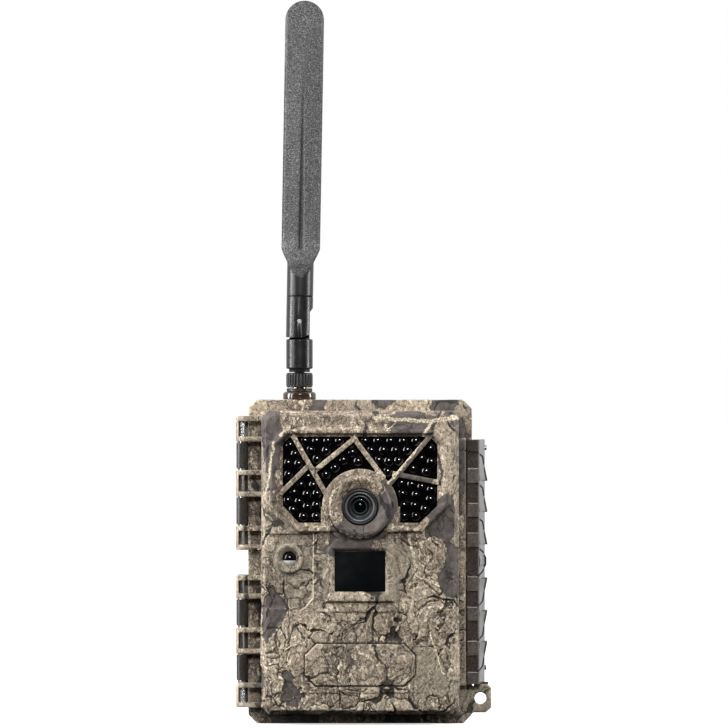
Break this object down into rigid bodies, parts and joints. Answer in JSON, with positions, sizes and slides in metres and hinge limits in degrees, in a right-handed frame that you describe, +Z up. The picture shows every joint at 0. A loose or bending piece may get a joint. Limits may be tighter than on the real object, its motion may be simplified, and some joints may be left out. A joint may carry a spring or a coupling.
{
  "type": "trail camera",
  "caption": "Cellular trail camera: two-shell box with side-hinged front cover, long side latch, infrared LED window, lens, motion-sensor window and folding paddle antenna.",
  "frame": {"origin": "mouth of the tripod socket, in the middle of the flat underside", "axes": "+X to the right seen from the front, -Y the way the lens looks, +Z up along the antenna"},
  "size_m": [0.1107, 0.0784, 0.3144],
  "materials": {
    "camo_shell": "moulded ABS with a printed bark camouflage in taupe, tan and charcoal, satin matte",
    "camo_bezel": "moulded ABS ring with the same bark print, satin matte",
    "hinge_plastic": "dark brown moulded nylon, satin",
    "latch_plastic": "dark brown moulded nylon, fine grain, worn lighter at the edges",
    "pin_steel": "plain steel pin, knurled at one end",
    "screw_steel": "zinc-plated steel screws",
    "contact_nickel": "nickel-plated spring steel",
    "brass": "turned brass",
    "jack_metal": "plated brass coaxial jack",
    "collar_metal": "glossy dark brown collar with a bright edge",
    "tray_plastic": "black moulded plastic",
    "cell_jacket": "printed metal jacket of an AA cell, density of a whole cell",
    "circuit_board": "green solder-masked circuit board",
    "chip_black": "black epoxy chip packages",
    "shield_can": "tinned shielding can",
    "connector_metal": "stamped connector shell",
    "lens_black": "black anodised look, ribbed lens barrel",
    "lens_glass": "coated optical glass with a teal reflection",
    "filter_glass": "infrared cut filter glass",
    "panel_black": "glossy black plate behind the LEDs",
    "led_epoxy": "dark epoxy LED domes, glossy",
    "window_black": "black infrared-transparent film, satin",
    "sensor_can": "metal sensor can",
    "eye_clear": "dark clear acrylic dome",
    "inner_panel": "black inner panel, fine texture",
    "screen": "unlit display under clear acrylic",
    "key_rubber": "grey-black rubber key caps",
    "seal_rubber": "black silicone gasket",
    "card_plastic": "plain black memory card",
    "antenna_barrel": "black satin moulded barrels",
    "antenna_blade": "dark grey speckled, grained rubbery plastic",
    "antenna_nut": "black knurled nut"
  },
  "bodies": {
    "rear_case": {"rear_housing": "camo_shell", "hinge_barrels": "hinge_plastic", "hinge_screws": "screw_steel", "latch_pin": "pin_steel", "latch_pin_screws": "screw_steel", "tripod_insert": "brass", "battery_tray": "tray_plastic", "aa_cells": "cell_jacket", "battery_contacts": "contact_nickel", "battery_springs": "contact_nickel", "modem_board": "circuit_board", "modem_module": "shield_can", "sim_holder": "connector_metal", "rear_screws": "screw_steel", "antenna_jack": "jack_metal", "jack_collar": "collar_metal", "jack_nut": "antenna_nut"},
    "cover": {"front_cover": "camo_shell", "hinge_pins": "pin_steel", "gasket": "seal_rubber", "lens_bezel": "camo_bezel", "lens_barrel": "lens_black", "lens_front_glass": "lens_glass", "lens_mount": "lens_black", "sensor_board": "circuit_board", "image_sensor": "chip_black", "led_panel": "panel_black", "infrared_leds": "led_epoxy", "led_board": "circuit_board", "pir_window": "window_black", "pir_sensor": "sensor_can", "light_sensor_lens": "eye_clear", "light_sensor": "chip_black", "main_board": "circuit_board", "board_chips": "chip_black", "board_screws": "screw_steel", "control_panel": "inner_panel", "cover_screws": "screw_steel", "lcd_screen": "screen", "usb_port": "connector_metal", "card_slot": "connector_metal"},
    "latch": {"latch_lever": "latch_plastic"},
    "coupling_nut": {"antenna_nut": "antenna_nut"},
    "antenna_swivel_barrel": {"antenna_base": "antenna_barrel"},
    "antenna_paddle": {"antenna_yoke": "antenna_barrel", "antenna_fold_pin": "pin_steel", "antenna_blade": "antenna_blade", "antenna_radiator": "brass"},
    "ir_filter": {"ir_filter_frame": "lens_black", "ir_filter_glass": "filter_glass"},
    "memory_card": {"sd_card": "card_plastic"},
    "mode_slider": {"mode_switch": "inner_panel"},
    "key_up": {"button_up": "key_rubber"},
    "key_down": {"button_down": "key_rubber"},
    "key_left": {"button_left": "key_rubber"},
    "key_right": {"button_right": "key_rubber"},
    "key_ok": {"button_ok": "key_rubber"},
    "key_menu": {"button_menu": "key_rubber"}
  },
  "joints": [
    {"name": "cover_hinge", "type": "hinge", "parent": "rear_case", "child": "cover", "pos_m": [-0.051, -0.0222, 0.0701], "axis": [0, 0, -1], "range_deg": [0, 120]},
    {"name": "latch_hinge", "type": "hinge", "parent": "rear_case", "child": "latch", "pos_m": [0.0516, 0.0118, 0.0701], "axis": [0, 0, 1], "range_deg": [0, 75]},
    {"name": "coupling_nut_turn", "type": "hinge", "parent": "rear_case", "child": "coupling_nut", "pos_m": [-0.0265, 0.0095, 0.1486], "axis": [0, 0, 1], "continuous": true},
    {"name": "antenna_swivel", "type": "hinge", "parent": "rear_case", "child": "antenna_swivel_barrel", "pos_m": [-0.0265, 0.0095, 0.152], "axis": [0, 0, 1], "continuous": true},
    {"name": "antenna_fold", "type": "hinge", "parent": "antenna_swivel_barrel", "child": "antenna_paddle", "pos_m": [-0.0265, 0.0095, 0.1745], "axis": [0, 1, 0], "range_deg": [-1, 89]},
    {"name": "ir_filter_shift", "type": "slide", "parent": "cover", "child": "ir_filter", "axis": [-1, 0, 0], "range_m": [0, 0.007]},
    {"name": "card_eject", "type": "slide", "parent": "cover", "child": "memory_card", "axis": [0, 0, 1], "range_m": [0, 0.004]},
    {"name": "mode_slide", "type": "slide", "parent": "cover", "child": "mode_slider", "axis": [0, 0, 1], "range_m": [0, 0.006]},
    {"name": "press_up", "type": "slide", "parent": "cover", "child": "key_up", "axis": [0, -1, 0], "range_m": [0, 0.0008], "stiffness_N_per_m": 400},
    {"name": "press_down", "type": "slide", "parent": "cover", "child": "key_down", "axis": [0, -1, 0], "range_m": [0, 0.0008], "stiffness_N_per_m": 400},
    {"name": "press_left", "type": "slide", "parent": "cover", "child": "key_left", "axis": [0, -1, 0], "range_m": [0, 0.0008], "stiffness_N_per_m": 400},
    {"name": "press_right", "type": "slide", "parent": "cover", "child": "key_right", "axis": [0, -1, 0], "range_m": [0, 0.0008], "stiffness_N_per_m": 400},
    {"name": "press_ok", "type": "slide", "parent": "cover", "child": "key_ok", "axis": [0, -1, 0], "range_m": [0, 0.0008], "stiffness_N_per_m": 400},
    {"name": "press_menu", "type": "slide", "parent": "cover", "child": "key_menu", "axis": [0, -1, 0], "range_m": [0, 0.0008], "stiffness_N_per_m": 400}
  ]
}
